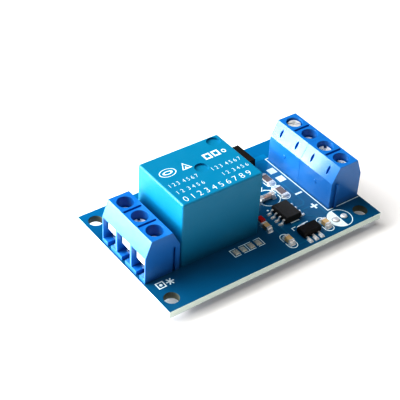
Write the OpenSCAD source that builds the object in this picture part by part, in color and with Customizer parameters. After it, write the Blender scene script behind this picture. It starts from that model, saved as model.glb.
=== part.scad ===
// Relay module board: a blue printed circuit board with a cube relay, a 3-way
// screw terminal on one short edge, two joined 2-way screw terminals on the
// other, and a small driver circuit between them. Millimetres, +Z up.
// Origin: the middle of the board in plan, on the surface that the trimmed
// pin ends stand on. +X runs along the board, +Y across it.

/* [Board] */
// Thickness of the board
board_t = 1.6; // [1:0.1:2.4]
// Length of the small circuit, between the relay and the right blocks
circuit_l = 17.3; // [16:0.1:24]
// Diameter of the four mounting holes
mount_d = 3.2; // [2.6:0.1:3.6]
// Distance between mounting holes along Y
mount_dy = 27; // [25:0.2:34]
// From the mounting holes' centres to the near and far edges
mount_side = 3; // [2.6:0.1:4]
// From the left mounting holes' centres to the left edge
mount_left = 2.5; // [2.3:0.1:4]
// From the right mounting holes' centres to the right edge
mount_right = 3.1; // [2.3:0.1:4]
// Length of the pin ends under the board
stub_h = 1.8; // [1.4:0.1:3]

/* [Relay] */
// Length of the relay case, along X
relay_l = 19.1; // [17.4:0.1:22]
// Width of the relay case, along Y
relay_w = 15.3; // [14.4:0.1:17]
// Height of the relay case
relay_h = 15.5; // [14:0.1:18]
// Wall of the relay case
relay_wall = 0.8; // [0.6:0.05:0.9]
// Radius of the case's outer edges
relay_edge_r = 0.4; // [0.2:0.05:0.6]
// Diameter of the two round dimples on the case
dimple_d = 2.9; // [2:0.1:3.2]
// Depth of the dimples
dimple_depth = 0.45; // [0.2:0.05:0.5]
// Gap between the relay and the left terminal block
relay_gap = 0.4; // [0.2:0.1:1]
// Contact gap between the moving and the open contact
contact_gap = 0.5; // [0.48:0.02:0.6]

/* [Terminal blocks] */
// Distance between neighbouring wires
pitch = 5.08; // [4.8:0.04:5.4]
// Depth of a block, from its wire face to its back
block_d = 8; // [7.6:0.1:9]
// Height of a block
block_h = 9.96; // [9.6:0.04:11]
// Height of the vertical part of the wire face
face_h = 6.2; // [5.8:0.05:6.6]
// Height of the vertical part of the back
back_h = 6.4; // [6.2:0.1:7]
// Depth of the slope above the wire face
face_slope_d = 1.37; // [1.2:0.02:1.4]
// Depth of the slope above the back
back_slope_d = 1.79; // [1.4:0.05:1.9]
// Plastic rib between two neighbouring cells
rib_t = 0.62; // [0.5:0.02:0.7]
// Height of the floor of a cell
floor_h = 0.9; // [0.7:0.05:1]
// From the wire face to the screw's axis
screw_u = 3.75; // [3.6:0.05:3.9]
// Diameter of the screwdriver holes
driver_d = 3.5; // [3.3:0.05:3.7]
// From each block's wire face to the end of the board
block_inset = 0.4; // [0:0.1:0.8]

/* [Clamps] */
// Diameter of a clamp screw's head
head_d = 3; // [2.8:0.05:3.2]
// Height of a clamp screw's head
head_h = 1.3; // [1.1:0.05:1.35]
// Diameter of a clamp screw's shank
shank_d = 2.5; // [2:0.1:2.7]
// Gap all round the shank in its thread
thread_gap = 0.05; // [0.03:0.01:0.08]
// Thickness of a clamp frame's bottom and back
frame_t = 0.6; // [0.5:0.05:0.65]
// Thickness of a clamp frame's threaded top
frame_top_t = 1.3; // [1:0.05:1.35]
// Width of a clamp frame's strip
frame_w = 2.8; // [2.6:0.1:3.2]
// Thickness of a wire guard
guard_t = 0.3; // [0.2:0.05:0.35]
// Gap on each side of a wire guard's hanging tongue
tongue_gap = 0.23; // [0.15:0.01:0.4]

/* [Hidden] */
$fn = 24;
fine = 40;             // facets of the larger circles that are open to view
coarse = 16;           // facets of the pin holes and their solder
eps = 0.01;            // overshoot of a cutter past a face
past = 1;              // and of one that cuts right through a piece
fit = 0.05;            // slack between parts that slide together in assembly

// How far open each clamp stands, from 0 at its tightest to 1. Ways 1 to 3 are
// the left block's from near to far, and 4 to 7 the right blocks' far to near.
clamp_open = [0.124, 0.404, 0.164, 0.964, 0.404, 0.684, 0.504];

left_ways = 3;
right_ways = 2;
way_n = left_ways + 2 * right_ways;
left_len = left_ways * pitch;
right_len = right_ways * pitch;
right_shift = 0.6;         // right blocks sit this far towards the far edge
pin_bottom = -board_t - stub_h;

relay_x0 = block_inset + block_d + relay_gap;
relay_x1 = relay_x0 + relay_l;
board_l = relay_x1 + circuit_l + block_d + block_inset;
board_w = mount_dy + 2 * mount_side;
relay_cx = relay_x0 + relay_l / 2;
relay_cy = board_w / 2 + 0.1;
left_y0 = board_w / 2 - left_len / 2;
right_y1 = board_w / 2 + right_shift + right_len;
right_y0 = right_y1 - 2 * right_len;
right_back_x = board_l - block_inset - block_d;

// Inside of a block
cell_w = pitch - rib_t;
cell_back_gap = 0.3;       // between a clamp frame and the back of its cell
cell_back = screw_u + 2.45;
dovetail_d = 0.5;
dovetail_root = 0.2;       // half widths of the dovetail
dovetail_tip = 0.36;
dovetail_u = block_d - 1.35;
dovetail_h = face_h - 0.1;
joint_slot_w = 0.5;        // slots in the top, between the screwdriver holes
joint_slot_l = 4.1;
joint_slot_d = 2.5;
slit_r = 1.9;              // the slits' two arcs, and how far apart they stand
slit_spread = 1.6;
slit_d = 0.4;
gate_r = 0.4;
gate_h = 0.12;
gate_z = 4;

// Clamps
frame_front = 1.7;
frame_back = cell_back - cell_back_gap;
frame_top = face_h - 0.4;
frame_roof = frame_top - frame_top_t;
clamp_low = floor_h + frame_t + guard_t + 0.15;
clamp_high = frame_roof - fit;
clamp_stroke = clamp_high - clamp_low;
shank_l = frame_top - clamp_low + fit;
tongue_w = cell_w - 2 * tongue_gap;
tongue_front = 1.0;        // depth of the guards' tongues behind the wire face
tongue_top = face_h - 1.2;
tongue_low = clamp_low + 1.05;
tongue_room = 0.92 * clamp_stroke;
guard_w = frame_w - 0.2;
guard_back = frame_back - frame_t - 0.3;
cross_w = 0.6;             // a screw's slot and the short arm that crosses it
cross_l = 1.9;
cross_d = 0.55;
pin_w = 1.0;
pin_d = 0.8;
pin_hole_d = 1.5;

// Inside of the relay, from the middle of its case
relay_in_x = relay_l / 2 - relay_wall;
relay_in_y = relay_w / 2 - relay_wall;
base_z = 0.4;
base_t = 1.2;
yoke_t = 1;
yoke_w = 8;
yoke_over = 1;             // how far the yoke's foot reaches past the core
yoke_x1 = relay_in_x - 0.75;       // outer face of the yoke's back
base_top = base_z + base_t;
bobbin_z = base_top + yoke_t;
flange_t = 0.8;
flange_w = 8.8;
flange_l = 11;
former_t = 0.7;
core_x = yoke_x1 - 6.5;
core_r = 2;
pole_r = 3;
pole_t = 0.5;
pole_gap = 0.4;
armature_t = 1;
armature_gap = 0.02;       // running gap between the armature and the yoke's edge
spring_t = 0.25;
spring_w = 4;
button_r = 1.2;
button_h = 0.5;            // moving contact buttons
button_low = 0.25;         // fixed contact buttons
rest_gap = 0.03;           // hair gap of the closed contact
strip_t = 0.4;
strip_w = 1.0;
contact_top_gap = 0.37;
bobbin_h = relay_h - relay_wall - contact_top_gap - bobbin_z - pole_t - pole_gap
    - armature_t - spring_t - button_h - rest_gap - button_low - strip_t;
armature_z = bobbin_z + bobbin_h + pole_t + pole_gap;
contact_pin_x = -relay_in_x + 1.65;
contact_x = -relay_in_x + 1.75;
coil_pin_x = relay_in_x - 3.65;
coil_pin_r = 0.35;
side_pin_y = relay_in_y - 0.85;
common_pin_w = 1.2;
contact_hole_d = 1.4;      // the board's holes for the relay's pins
coil_hole_d = 1.1;
common_hole_d = 1.6;
press = 0.02;              // gap between a pin and what holds it
case_gap = 0.1;            // between the fixed contacts and the inside of the case
bobbin_side = 0.3;         // between the lower flange and the inside of the case
bobbin_heel = 0.5;         // how far the lower flange runs on, round the coil pins
armature_over = 0.4;       // how far the armature reaches past the core's pole
armature_side = 0.5;       // how much narrower it is than the yoke, on each side
spring_over = 0.9;         // how far the leaf reaches past the buttons' middle
spring_bend = 0.25;        // between the yoke's back and the leaf's bent end
spring_drop = 2;
foot_w = 0.6;              // how far a contact's foot reaches in from its pin
arm_y = 2.3;               // where a contact's upright ends, from the middle
arm_over = 1;              // how far a contact's arm reaches past its button's middle

// Places on the board. Small parts between the relay and the right blocks give
// the share of the way from one to the other, and the distance from the near edge.
function place(share, y) = [relay_x1 + share * circuit_l, y];
chip_pos = place(0.491, 10.3);
regulator_pos = place(0.517, 3.5);
capacitor_pos = [place(0.214, 3.5), place(0.775, 3.5), place(0.139, 9.1)];
resistor_pos = [place(0.717, right_y1 - 5.66), place(0.717, right_y1 - 10.56)];
diode_pos = place(0.468, 16.4);
led_pos = place(0.168, 11.5);
opto_pos = place(0.526, board_w - 5.15);
round_led_pos = place(0.509, 16.6);
round_edge = 0.6;          // from the round footprint to the board's edge
round_cap_r = (right_y0 - 0.84 - round_edge) / 2;
round_cap_pos = [right_back_x, round_edge + round_cap_r];
spare_row_y = relay_cy - relay_w / 2 - 2.4;
spare_row_x = [20.65, 22.35, 24.35, 26.1];

chip_l = 4.9;
chip_w = 3.9;
chip_h = 1.5;
chip_span = 6;
chip_pitch = 1.27;
chip_bevel = 0.12;
chip_stand = 0.1;
lead_t = 0.2;
lead_w = 0.42;
regulator_l = 4.5;
regulator_w = 2.5;
regulator_h = 1.5;
regulator_bevel = 0.15;
regulator_pitch = 1.5;
capacitor_l = 2;
capacitor_w = 1.25;
capacitor_h = 1.0;
resistor_l = 3.1;
resistor_w = 1.55;
resistor_h = 0.6;
end_l = 0.4;
end_lip = 0.03;            // how far the metal ends stand proud of the ceramic
diode_r = 0.75;
diode_l = 3.5;
diode_cap_l = 0.7;
led_l = 2;
led_w = 1.25;
led_base_h = 0.35;
led_lens_h = 0.45;
opto_l = 6.5;
opto_w = 4.6;
opto_h = 3.5;
opto_stand = 0.5;
opto_bevel = 0.2;
opto_row = 7.62;
opto_pitch = 2.54;
opto_lead_t = 0.25;
opto_lead_w = 1.2;
opto_hole_d = 0.9;
ink_t = 0.04;
ink_w = 0.2;
line_w = 0.25;
oblong_gap = 0.5;          // between a part and its oblong outline
pad_t = 0.05;
spare_pad = [1.25, 1.5];
mark_w = 1.8;
solder_h = 1.1;
terminal_pad_r = 1.35;
relay_pad_r = 1.3;
opto_pad_r = 0.95;
round_pad_r = 0.75;
round_hole_r = 0.4;
round_pitch = 2.2;

// ---- Placing ------------------------------------------------------------

// The board's own frame: its left near corner, on its top face
module on_board() {
    translate([-board_l / 2, -board_w / 2, stub_h + board_t]) children();
}

// The middle of the relay's footprint
module at_relay() {
    on_board() translate([relay_cx, relay_cy, 0]) children();
}

// A block's frame: u from the wire face, v along the block
module at_left_block() {
    on_board() translate([block_inset, left_y0, 0]) children();
}
module at_right_block(n) {
    on_board() translate([board_l - block_inset, right_y1 - n * right_len, 0])
        rotate([0, 0, 180]) children();
}

// The middle of way k, in its block's frame
module at_way(k) {
    if (k < left_ways)
        at_left_block() translate([0, (k + 0.5) * pitch, 0]) children();
    else
        at_right_block(0) translate([0, (k - left_ways + 0.5) * pitch, 0]) children();
}

// A profile in u and z, extruded over width w about v = 0
module across(w) {
    translate([0, w / 2, 0]) rotate([90, 0, 0]) linear_extrude(w) children();
}

module box(x0, x1, y0, y1, z0, z1) {
    translate([x0, y0, z0]) cube([x1 - x0, y1 - y0, z1 - z0]);
}

// ---- Board --------------------------------------------------------------

function relay_pins() = [
    [contact_pin_x, side_pin_y, contact_hole_d], [contact_pin_x, -side_pin_y, contact_hole_d],
    [coil_pin_x, side_pin_y, coil_hole_d], [coil_pin_x, -side_pin_y, coil_hole_d],
    [yoke_x1 - yoke_t / 2, 0, common_hole_d]];

function opto_pins() = [for (i = [-1, 1], j = [-1, 1])
    [opto_pos[0] + i * opto_pitch / 2, opto_pos[1] + j * opto_row / 2, opto_hole_d]];

module mounting_holes() {
    for (x = [mount_left, board_l - mount_right], y = [mount_side, board_w - mount_side])
        translate([x, y, -board_t - eps])
            cylinder(d = mount_d, h = board_t + 2 * eps, $fn = fine);
}

module pin_hole(d) {
    translate([0, 0, -board_t - eps]) cylinder(d = d, h = board_t + 2 * eps, $fn = coarse);
}

module at_round_pads() {
    for (i = [-1, 1])
        translate([round_cap_pos[0] + i * round_pitch / 2, round_cap_pos[1], 0]) children();
}

module pcb() {
    color("mediumblue") difference() {
        on_board() box(0, board_l, 0, board_w, -board_t, 0);
        on_board() mounting_holes();
        for (k = [0 : way_n - 1]) at_way(k) translate([screw_u, 0, 0]) pin_hole(pin_hole_d);
        for (p = relay_pins()) at_relay() translate([p[0], p[1], 0]) pin_hole(p[2]);
        for (p = opto_pins()) on_board() translate([p[0], p[1], 0]) pin_hole(p[2]);
        on_board() at_round_pads() pin_hole(2 * round_hole_r);
    }
}

// ---- Print on the board -------------------------------------------------

module ink(h = ink_t) { linear_extrude(h) children(); }

module ring2d(r) {
    difference() { circle(r, $fn = fine); circle(r - ink_w, $fn = fine); }
}

module slab2d(w, l) {
    translate([-w / 2, -l / 2]) square([w, l]);
}

module oblong_disc2d(w, straight) {
    slab2d(w, straight);
    for (s = [-1, 1]) translate([0, s * straight / 2]) circle(w / 2);
}

// An oblong outline round a chip part, open at the middle of both long sides
module oblong2d(part_w, part_l) {
    w = part_w + 2 * oblong_gap;
    straight = part_l + oblong_gap;
    difference() {
        oblong_disc2d(w, straight);
        oblong_disc2d(w - 2 * ink_w, straight);
        slab2d(w + 1, 0.5);
    }
}

// A rectangle outline with a gap in the middle of both long sides
module pad_box2d(w, l) {
    difference() {
        slab2d(w, l);
        slab2d(w - 2 * ink_w, l - 2 * ink_w);
        slab2d(0.7, l + 1);
    }
}

// A round part's outline, half of it filled, with room for its two pads
module half_round2d(r) {
    ring2d(r);
    difference() {
        intersection() {
            circle(r - ink_w / 2, $fn = fine);
            translate([-r, -r]) square([r, 2 * r]);
        }
        translate([-round_pitch / 2, 0]) circle(round_pad_r + 0.1);
    }
}

// A line from a to b
module stroke2d(a, b) {
    d = b - a;
    translate(a) rotate(atan2(d[1], d[0])) translate([0, -ink_w / 2]) square([norm(d), ink_w]);
}

module spare_part_print() {
    mid = (spare_row_x[0] + spare_row_x[1]) / 2;
    end = (spare_row_x[2] + spare_row_x[3]) / 2;
    for (x = [mid, end])
        translate([x, spare_row_y]) pad_box2d(end - mid + ink_w, spare_pad[1] + 0.8);
}

// Tab end of the regulator, and the first pin and near edge of the chip
module chip_print() {
    tab_l = regulator_l - 0.1;
    translate([regulator_pos[0] - regulator_l / 2 - 0.1, regulator_pos[1] + regulator_w / 2]) {
        translate([0, 1.35]) difference() {
            square([tab_l, ink_w]);
            translate([tab_l / 4, -1]) square([1.6, 2]);
        }
        translate([0, 0.55]) square([ink_w, 0.9]);
    }
    translate([chip_pos[0] - 2.3, chip_pos[1] + chip_span / 2 + 0.1]) circle(line_w);
    translate([chip_pos[0] - 0.8, chip_pos[1] - chip_l / 2 - 0.35]) square([2.2, line_w]);
}

// The small diode stands on a round part's outline, with a corner mark beside it
module diode_print() {
    translate(round_led_pos) difference() {
        ring2d(2.7);
        slab2d(8, 2);
    }
    translate(round_led_pos) {
        stroke2d([0.3, 2.6], [1.2, 3.6]);
        stroke2d([0.8, 2.7], [2.3, 1.7]);
    }
}

// Outline of the right blocks, and marks beside their ways: two plain squares,
// a minus and a plus
module right_block_print() {
    x = right_back_x - 0.6;
    y = right_y0 - 0.45;
    long = block_d + 0.7;
    translate([x, y]) square([line_w, right_y1 - right_y0 + 0.9]);
    translate([x, y]) square([long, line_w]);
    translate([x, right_y1 + 0.2]) square([long, line_w]);
    for (way_y = [right_y1 - pitch / 2 - 1.22, right_y1 - 1.5 * pitch + 0.71])
        translate([x - 1.35, way_y]) slab2d(mark_w, mark_w);
    translate([x - 1.35, right_y1 - 2.5 * pitch - 0.16]) slab2d(mark_w, 0.5);
    translate([x - 1.35, right_y1 - 3.5 * pitch - 0.18]) {
        slab2d(mark_w, 0.45);
        slab2d(0.45, mark_w);
    }
}

// Plain marks beside the near left hole: a square with a dot, and an asterisk
module left_block_print() {
    translate([2.75, left_y0 - 1.93]) {
        difference() {
            slab2d(mark_w, mark_w);
            slab2d(mark_w - 0.5, mark_w - 0.5);
        }
        circle(0.35);
    }
    translate([4.85, left_y0 - 1.98]) for (a = [0, 60, 120]) rotate(a) slab2d(mark_w, 0.3);
}

module silkscreen() {
    color("white") on_board() ink() {
        spare_part_print();
        for (i = [0, 1]) translate(capacitor_pos[i]) oblong2d(capacitor_w, capacitor_l);
        for (p = resistor_pos) translate(p) oblong2d(resistor_w, resistor_l - 1);
        translate(round_cap_pos) half_round2d(round_cap_r);
        chip_print();
        diode_print();
        right_block_print();
        left_block_print();
    }
}

module solder_pads() {
    color("silver") on_board() {
        ink(pad_t) for (x = spare_row_x)
            translate([x, spare_row_y]) slab2d(spare_pad[0], spare_pad[1]);
        at_round_pads() ink(pad_t) difference() {
            circle(round_pad_r);
            circle(round_hole_r);
        }
    }
}

// Solder cones under the board, one round each pin
module solder_cone(r) {
    translate([0, 0, -board_t - solder_h])
        cylinder(r1 = r * 0.62, r2 = r, h = solder_h, $fn = coarse);
}

module solder_joints() {
    color("gainsboro") difference() {
        union() {
            for (k = [0 : way_n - 1])
                at_way(k) translate([screw_u, 0, 0]) solder_cone(terminal_pad_r);
            for (p = relay_pins()) at_relay() translate([p[0], p[1], 0]) solder_cone(relay_pad_r);
            for (p = opto_pins()) on_board() translate([p[0], p[1], 0]) solder_cone(opto_pad_r);
        }
        for (k = [0 : way_n - 1]) at_way(k) clamp_pin();
        relay_contact_pin(1);
        relay_contact_pin(-1);
        relay_common_pin();
        coil_pins(coil_pin_r + press);
        opto_pin_ends();
    }
}

// ---- Relay --------------------------------------------------------------

module relay_case() {
    hx = relay_l / 2 - relay_edge_r;
    hy = relay_w / 2 - relay_edge_r;
    color("deepskyblue") at_relay() difference() {
        hull() for (i = [-1, 1], j = [-1, 1]) translate([i * hx, j * hy, 0]) {
            cylinder(r = relay_edge_r, h = 1);
            translate([0, 0, relay_h - relay_edge_r]) sphere(relay_edge_r);
        }
        box(-relay_in_x, relay_in_x, -relay_in_y, relay_in_y, -eps, relay_h - relay_wall);
        for (p = [[0.3, 0.1], [relay_l / 2 - 2.2, relay_w / 2 - 1.8]])
            translate([p[0], p[1], relay_h - dimple_depth])
                cylinder(d = dimple_d, h = 1, $fn = fine);
    }
}

module relay_base() {
    color("black") at_relay() difference() {
        box(-relay_in_x + fit, relay_in_x - fit, -relay_in_y + fit, relay_in_y - fit,
            base_z, base_top);
        for (s = [-1, 1]) {
            translate([contact_pin_x, s * side_pin_y, 0]) slot_through(strip_t, strip_w + 2 * fit);
            translate([coil_pin_x, s * side_pin_y, -past])
                cylinder(r = coil_pin_r + press, h = base_top + 2 * past);
        }
        translate([yoke_x1 - yoke_t / 2, 0, 0]) slot_through(yoke_t, common_pin_w);
    }
}

module slot_through(x, y) { box(-x / 2, x / 2, -y / 2, y / 2, -past, base_top + past); }

module relay_bobbin() {
    color("white") at_relay() difference() {
        union() {
            translate([core_x, 0, bobbin_z]) {
                cylinder(r = core_r + former_t, h = bobbin_h);
                box(-flange_w / 2, flange_w / 2 + bobbin_heel,
                    -relay_in_y + bobbin_side, relay_in_y - bobbin_side, 0, flange_t);
                box(-flange_w / 2, flange_w / 2, -flange_l / 2, flange_l / 2,
                    bobbin_h - flange_t, bobbin_h);
            }
        }
        translate([core_x, 0, bobbin_z - past])
            cylinder(r = core_r + fit, h = bobbin_h + 2 * past);
        for (s = [-1, 1]) translate([coil_pin_x, s * side_pin_y, bobbin_z - past])
            cylinder(r = coil_pin_r + press, h = flange_t + 2 * past);
    }
}

module relay_coil() {
    color("chocolate") at_relay() translate([core_x, 0, bobbin_z + flange_t]) difference() {
        cylinder(r = flange_w / 2 - 0.1, h = bobbin_h - 2 * flange_t, $fn = fine);
        translate([0, 0, -past]) cylinder(r = core_r + former_t + press, h = bobbin_h);
    }
}

module relay_core() {
    color("silver") at_relay() translate([core_x, 0, base_top]) {
        cylinder(r = core_r, h = yoke_t + bobbin_h + eps, $fn = fine);
        translate([0, 0, yoke_t + bobbin_h]) cylinder(r = pole_r, h = pole_t, $fn = fine);
    }
}

module relay_common_pin() {
    at_relay() box(yoke_x1 - yoke_t, yoke_x1, -common_pin_w / 2, common_pin_w / 2,
        pin_bottom, base_top + eps);
}

module relay_yoke() {
    color("silver") {
        at_relay() difference() {
            union() {
                box(yoke_x1 - yoke_t, yoke_x1, -yoke_w / 2, yoke_w / 2,
                    base_top, armature_z - armature_gap);
                box(core_x - core_r - yoke_over, yoke_x1, -yoke_w / 2, yoke_w / 2,
                    base_top, bobbin_z);
            }
            translate([core_x, 0, 0]) cylinder(r = core_r + press, h = bobbin_z + past);
        }
        relay_common_pin();
    }
}

module relay_armature() {
    color("silver") at_relay()
        box(core_x - pole_r - armature_over, yoke_x1 - 0.1,
            -yoke_w / 2 + armature_side, yoke_w / 2 - armature_side,
            armature_z, armature_z + armature_t);
}

// The moving leaf on the armature: it runs out to the contacts and bends down
// behind the yoke, and carries a contact button on each side
module relay_contact_spring() {
    z = armature_z + armature_t;
    bend_x = yoke_x1 + spring_bend;
    color("goldenrod") at_relay() {
        box(contact_x - spring_over, bend_x, -spring_w / 2, spring_w / 2, z, z + spring_t);
        box(bend_x, bend_x + spring_t, -spring_w / 2, spring_w / 2, z - spring_drop, z + spring_t);
        translate([contact_x, 0, z - button_h]) cylinder(r = button_r, h = button_h + eps);
        translate([contact_x, 0, z + spring_t - eps]) cylinder(r = button_r, h = button_h);
    }
}

module relay_contact_pin(side) {
    at_relay() box(contact_pin_x - strip_t / 2, contact_pin_x + strip_t / 2,
        side * side_pin_y - strip_w / 2, side * side_pin_y + strip_w / 2,
        pin_bottom, base_top + eps);
}

// A bent contact strip: pin, foot, upright and arm, with the arm's near face
// at arm_z and a button on its upper or lower side
module fixed_contact(side, arm_z, button_up) {
    x0 = -relay_in_x + case_gap;
    y_out = side * (relay_in_y - case_gap - fit);
    y_foot = side * (side_pin_y - foot_w);
    y_mid = side * arm_y;
    y_arm = -side * arm_over;
    color("goldenrod") {
        relay_contact_pin(side);
        at_relay() {
            box(x0, contact_pin_x + 0.5, min(y_out, y_foot), max(y_out, y_foot),
                base_top, base_top + strip_t);
            box(x0, x0 + strip_t, min(y_out, y_mid), max(y_out, y_mid),
                base_top, arm_z + strip_t);
            box(x0, contact_x + arm_over, min(y_out, y_arm), max(y_out, y_arm),
                arm_z, arm_z + strip_t);
            translate([contact_x, 0, button_up ? arm_z + strip_t - eps : arm_z - button_low])
                cylinder(r = button_r, h = button_low + eps);
        }
    }
}

module relay_closed_contact() {
    fixed_contact(1, armature_z + armature_t + spring_t + button_h + rest_gap + button_low,
        false);
}

module relay_open_contact() {
    fixed_contact(-1, armature_z + armature_t - button_h - contact_gap - button_low - strip_t,
        true);
}

module coil_pins(r) {
    at_relay() for (s = [-1, 1]) translate([coil_pin_x, s * side_pin_y, pin_bottom])
        cylinder(r = r, h = bobbin_z + flange_t - pin_bottom);
}

module relay_coil_pins() { color("gold") coil_pins(coil_pin_r); }

// ---- Terminal blocks ----------------------------------------------------

// Section of a block in u and z
module block_profile() {
    polygon([[0, 0], [0, face_h], [face_slope_d, block_h],
        [block_d - back_slope_d, block_h], [block_d, back_h], [block_d, 0]]);
}

// Section of a cell: open at the wire face, with headroom for the guard's tongue
module cell_profile() {
    wall_u = 0.55;
    head_z = tongue_top + tongue_room;
    head_u = face_slope_d * (head_z - face_h) / (block_h - face_h) + wall_u;
    head_back = tongue_front + guard_t + 0.3;
    polygon([[-1, floor_h], [-1, face_h], [wall_u, face_h], [head_u, head_z],
        [head_back, head_z], [head_back, face_h], [cell_back, face_h], [cell_back, floor_h]]);
}

// Plan of the dovetail that joins two blocks, pointing along +v
module dovetail2d(slack) {
    root = dovetail_root + slack;
    tip = dovetail_tip + slack;
    polygon([[-root, -eps], [-tip, dovetail_d + slack], [tip, dovetail_d + slack], [root, -eps]]);
}

// A pointed slit on the sloping back
module slit() {
    slope = atan((block_h - back_h) / back_slope_d);
    translate([block_d - back_slope_d / 2, 0, (block_h + back_h) / 2])
        rotate([0, slope - 180, 0]) translate([0, 0, -slit_d]) linear_extrude(slit_d + 0.5)
            intersection_for(s = [-1, 1]) translate([0, s * slit_spread]) circle(slit_r, $fn = fine);
}

module block(ways) {
    len = ways * pitch;
    difference() {
        union() {
            translate([0, len / 2, 0]) across(len) block_profile();
            translate([dovetail_u, len, 0]) linear_extrude(dovetail_h) dovetail2d(0);
            translate([block_d - eps, len / 2, gate_z]) rotate([0, 90, 0])
                cylinder(r = gate_r, h = gate_h);
        }
        for (k = [0 : ways - 1]) translate([0, (k + 0.5) * pitch, 0]) {
            across(cell_w) cell_profile();
            translate([screw_u, 0, face_h - eps]) cylinder(d = driver_d, h = block_h, $fn = fine);
            box(-1, screw_u + 0.6, -pin_w / 2 - fit, pin_w / 2 + fit, -1, floor_h + eps);
            slit();
        }
        for (k = [1 : ways - 1]) translate([screw_u, k * pitch, block_h])
            box(-joint_slot_l / 2, joint_slot_l / 2, -joint_slot_w / 2, joint_slot_w / 2,
                -joint_slot_d, 1);
        translate([dovetail_u, 0, -eps]) linear_extrude(dovetail_h + 0.1) dovetail2d(fit);
    }
}

module left_housing() { color("royalblue") at_left_block() block(left_ways); }
module right_far_housing() { color("royalblue") at_right_block(0) block(right_ways); }
module right_near_housing() { color("royalblue") at_right_block(1) block(right_ways); }

// ---- Clamps -------------------------------------------------------------

module clamp_pin() {
    box(screw_u - pin_d / 2, screw_u + pin_d / 2, -pin_w / 2, pin_w / 2,
        pin_bottom, floor_h + eps);
}

// A strip folded into a C, with its thread on top and its pin below
module clamp_frame(k) {
    color("lightgray") at_way(k) {
        difference() {
            across(frame_w) polygon([[frame_front, floor_h], [frame_back, floor_h],
                [frame_back, frame_top], [frame_front, frame_top], [frame_front, frame_roof],
                [frame_back - frame_t, frame_roof], [frame_back - frame_t, floor_h + frame_t],
                [frame_front, floor_h + frame_t]]);
            translate([screw_u, 0, frame_roof - 0.5])
                cylinder(r = shank_d / 2 + thread_gap, h = frame_top_t + 1);
        }
        clamp_pin();
    }
}

function screw_tip(k) = clamp_low + clamp_open[k] * clamp_stroke;

// The bent leaf that the screw presses on the wire: a tongue that hangs behind
// the wire face, and a foot under the screw's tip
module wire_guard(k) {
    tip = screw_tip(k);
    bend = max(tongue_low, tip - guard_t - 0.06);
    bend_u = tongue_front + guard_t - eps;
    foot_u = frame_front - fit;
    color("gainsboro") at_way(k) {
        box(tongue_front, tongue_front + guard_t, -tongue_w / 2, tongue_w / 2, bend, tongue_top);
        across(guard_w) polygon([[bend_u, bend], [bend_u, bend + guard_t], [foot_u, tip],
            [guard_back, tip], [guard_back, tip - guard_t], [foot_u, tip - guard_t]]);
    }
}

module clamp_screw(k) {
    color("silver") at_way(k) translate([screw_u, 0, screw_tip(k)]) difference() {
        union() {
            cylinder(d = shank_d, h = shank_l + eps);
            translate([0, 0, shank_l]) cylinder(d = head_d, h = head_h);
        }
        translate([0, 0, shank_l + head_h]) rotate([0, 0, 25 + 40 * k]) {
            box(-head_d, head_d, -cross_w / 2, cross_w / 2, -cross_d, 1);
            box(-cross_w / 2, cross_w / 2, -cross_l / 2, cross_l / 2, -cross_d, 1);
        }
    }
}

// ---- Small parts --------------------------------------------------------

// Section of a moulded body, widest at half its height
module bevelled(w, h, stand, bevel) {
    half = w / 2;
    polygon([[-half + bevel, stand], [-half, stand + h / 2], [-half + bevel, stand + h],
        [half - bevel, stand + h], [half, stand + h / 2], [half - bevel, stand]]);
}

module driver_chip() {
    color("#2a2a2c") on_board() translate([chip_pos[0], chip_pos[1], 0]) difference() {
        across(chip_l) bevelled(chip_w, chip_h, chip_stand, chip_bevel);
        translate([-chip_w / 2 + 0.7, chip_l / 2 - 0.7, chip_stand + chip_h - 0.06])
            cylinder(r = 0.35, h = 1);
    }
}

// A gull-wing lead that leaves the body at u = 0 and stands on its foot
module gull_lead(reach, rise, w) {
    across(w) polygon([[-0.01, rise], [reach * 0.42, rise], [reach * 0.62, lead_t],
        [reach, lead_t], [reach, 0], [reach * 0.48, 0], [reach * 0.3, rise - lead_t],
        [-0.01, rise - lead_t]]);
}

module driver_chip_leads() {
    color("silver") on_board() translate([chip_pos[0], chip_pos[1], 0])
        for (s = [0, 180], i = [-1.5 : 1.5]) rotate([0, 0, s])
            translate([chip_w / 2, i * chip_pitch, 0])
                gull_lead((chip_span - chip_w) / 2, chip_stand + (chip_h + lead_t) / 2, lead_w);
}

module regulator() {
    color("#222222") on_board() translate([regulator_pos[0], regulator_pos[1], 0])
        rotate([0, 0, 90]) across(regulator_l) polygon([
            [-regulator_w / 2, 2 * lead_t], [-regulator_w / 2 + regulator_bevel, regulator_h],
            [regulator_w / 2 - regulator_bevel, regulator_h], [regulator_w / 2, 2 * lead_t]]);
}

module regulator_leads() {
    color("silver") on_board() translate([regulator_pos[0], regulator_pos[1], 0]) {
        near = -regulator_w / 2;
        for (i = [-1 : 1]) translate([i * regulator_pitch, 0, 0])
            box(-lead_w / 2, lead_w / 2, near - 1.1, near + 0.3, 0, 2 * lead_t);
        box(-0.27, 0.27, near + 0.29, -near, 0, 2 * lead_t);
        box(-0.85, 0.85, -near - 0.6, -near + 0.7, 0, 2 * lead_t);
    }
}

// The ceramic of a two-ended chip part, and its two wrapped metal ends
module chip_ceramic(l, w, h) {
    box(-w / 2 + end_lip, w / 2 - end_lip, -l / 2 + end_l, l / 2 - end_l, end_lip, h - end_lip);
}
module chip_ends(l, w, h) {
    for (s = [0, 180]) rotate([0, 0, s]) box(-w / 2, w / 2, l / 2 - end_l, l / 2, 0, h);
}

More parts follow.
